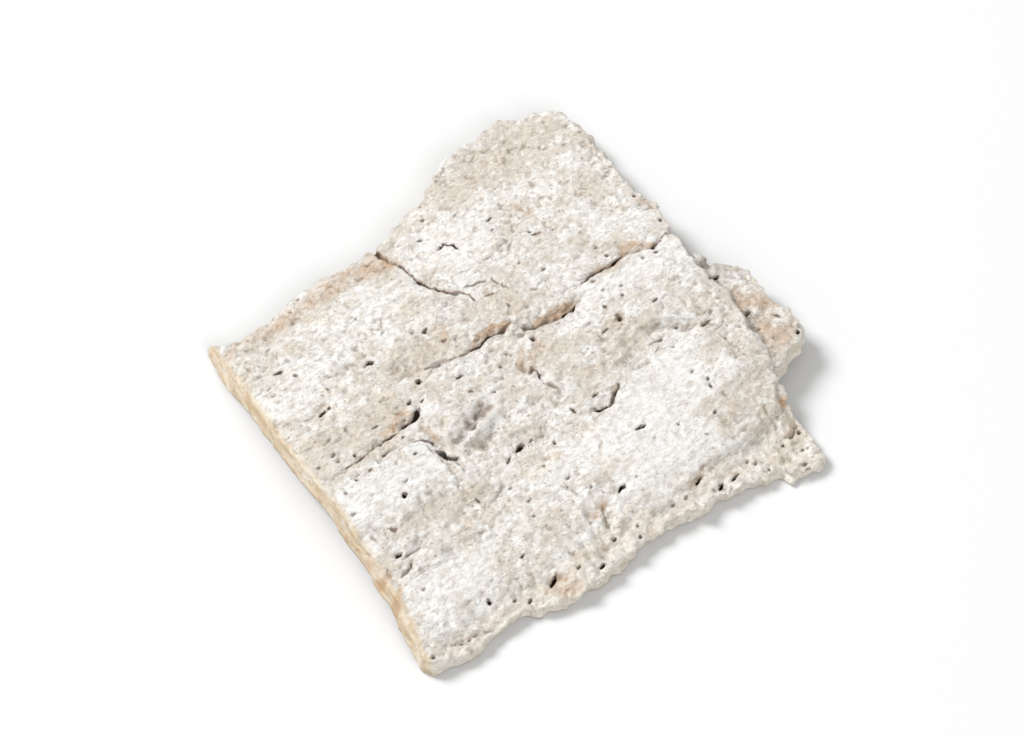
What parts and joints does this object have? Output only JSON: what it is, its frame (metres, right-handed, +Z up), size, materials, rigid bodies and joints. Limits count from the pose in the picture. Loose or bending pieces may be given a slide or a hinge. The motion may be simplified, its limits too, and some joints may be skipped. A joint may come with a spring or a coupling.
{
  "type": "piece of bark",
  "caption": "Thin, gently arched plate of weathered pale grey tree bark with fissures, pits and snapped tan edges, lying outer side up.",
  "frame": {"origin": "middle of the piece's box, on the surface it rests on", "axes": "+X along the bark's grain, from the cleanly snapped end to the ledged end; +Y across the grain, away from the worn lower rim; +Z up out of the bark's outer side"},
  "size_m": [0.0892, 0.0894, 0.0091],
  "materials": {
    "bark": "rough, dry and weathered, tan where broken"
  },
  "bodies": {
    "root": {"bark": "bark"}
  },
  "joints": []
}
